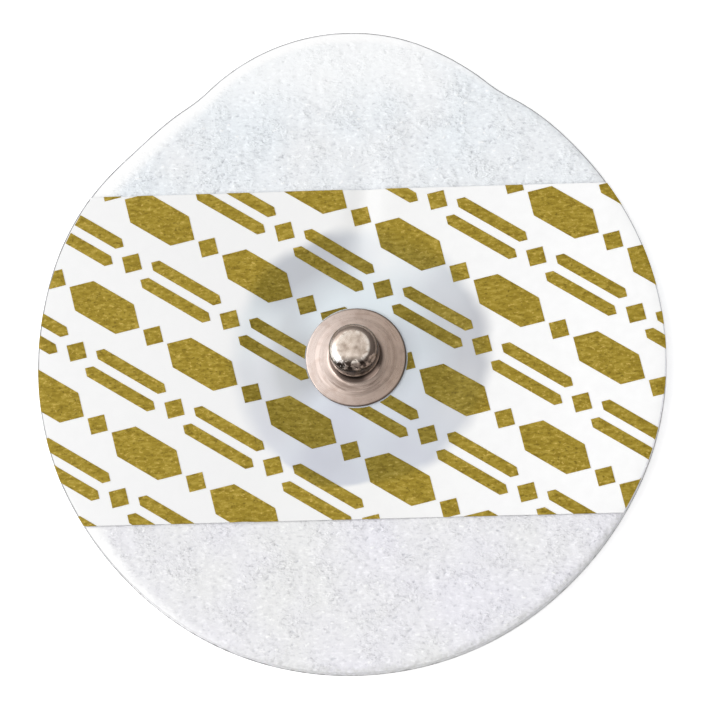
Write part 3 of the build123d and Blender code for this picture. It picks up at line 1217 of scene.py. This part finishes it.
gel = make_gel()
dress(gel, gel_material(), "gel_sponge")

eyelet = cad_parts["sensor_eyelet"]
eyelet.data.materials.clear()
eyelet.data.materials.append(silver_material())


# Floor, light and camera, in metres

floor_reach, floor_height, floor_glow = 2.0, -0.00002, 0.45
sky_left, sky_right, sky_low = 0.74, 0.4, 0.3
key_direction, key_light = (-0.7, 0.09, 0.7), 1.78
key_reach = (0.68, 0.97)  # cosines of the angles at which the key light starts and is full
photo_width = 56.8 * MM  # what the photograph's frame spans at the pad


def make_floor():
    """A pale floor, which glows up to white for the camera and in reflections, and keeps the object's shadow."""
    corners = ((-1, -1), (1, -1), (1, 1), (-1, 1))
    mesh = bpy.data.meshes.new("floor")
    mesh.from_pydata([(x * floor_reach, y * floor_reach, floor_height) for x, y in corners], [], [(0, 1, 2, 3)])
    floor = link("floor", mesh)
    material = bpy.data.materials.new("floor")
    nodes = Nodes(material, "Principled BSDF")
    rays = nodes.add("LightPath").outputs
    seen = nodes.calc("MAXIMUM", rays["Is Camera Ray"], rays["Is Glossy Ray"])
    seen = nodes.calc("MAXIMUM", seen, rays["Is Transmission Ray"])
    nodes.set(Base_Color=grey(0.92), Roughness=0.9, Specular_IOR_Level=0.0, Emission_Color=grey(1.0),
              Emission_Strength=nodes.times(seen, floor_glow))
    floor.data.materials.append(material)


def make_world():
    """A studio with a soft key light on the left, bright overhead and dim on the right and near the horizon."""
    world = bpy.data.worlds.new("studio")
    nodes = Nodes(world, "Background")
    place = nodes.add("TexCoord").outputs["Generated"]
    split = nodes.add("SeparateXYZ", place).outputs
    toward_key = nodes.vector("DOT_PRODUCT", place, Vector(key_direction).normalized(), "Value")
    side = nodes.span(split["X"], -0.6, 0.6, sky_left, sky_right, "SMOOTHSTEP")
    high = nodes.span(split["Z"], 0.0, 0.75, sky_low, 1.0, "SMOOTHSTEP")
    key = nodes.span(toward_key, *key_reach, 0.0, key_light, "SMOOTHSTEP")
    nodes.set(Color=grey(1.0), Strength=nodes.calc("MULTIPLY_ADD", side, high, key))
    bpy.context.scene.world = world


def make_lamp(name, place, size, power):
    """A round lamp that faces the object."""
    light = bpy.data.lights.new(name, "AREA")
    light.shape = "DISK"
    light.size = size
    light.energy = power
    lamp = link(name, light)
    lamp.location = place
    lamp.rotation_euler = (-Vector(place)).to_track_quat("-Z", "Y").to_euler()


def make_camera(target, distance, toward, roll, view_width):
    """A camera at a distance from its target, with the pad's tab upwards in the picture."""
    back = Vector(toward).normalized()
    level_right = Vector((0, 1, 0)).cross(back).normalized()
    level_up = back.cross(level_right)
    right = level_right * math.cos(roll) + level_up * math.sin(roll)
    up = back.cross(right)
    camera = bpy.data.cameras.new("camera")
    camera.sensor_fit = "HORIZONTAL"
    camera.sensor_width = 36.0
    camera.lens = camera.sensor_width * distance / view_width
    camera.clip_start = 0.01
    view = link("camera", camera)
    turn = Matrix((right, up, back)).transposed().to_4x4()
    view.matrix_world = Matrix.Translation(Vector(target) + back * distance) @ turn
    bpy.context.scene.camera = view


make_floor()
make_world()
make_lamp("fill", (0.6, -0.55, 0.14), size=0.8, power=2.3)
make_lamp("glint", (-0.42, -0.16, 0.3), size=0.08, power=0.3)
make_camera(target=(0.1 * MM, 0.05 * MM, 1.2 * MM), distance=0.4, toward=(0.0594, -0.2288, 0.9717), roll=-0.0137,
            view_width=photo_width)
bpy.context.scene.view_settings.view_transform = "Standard"
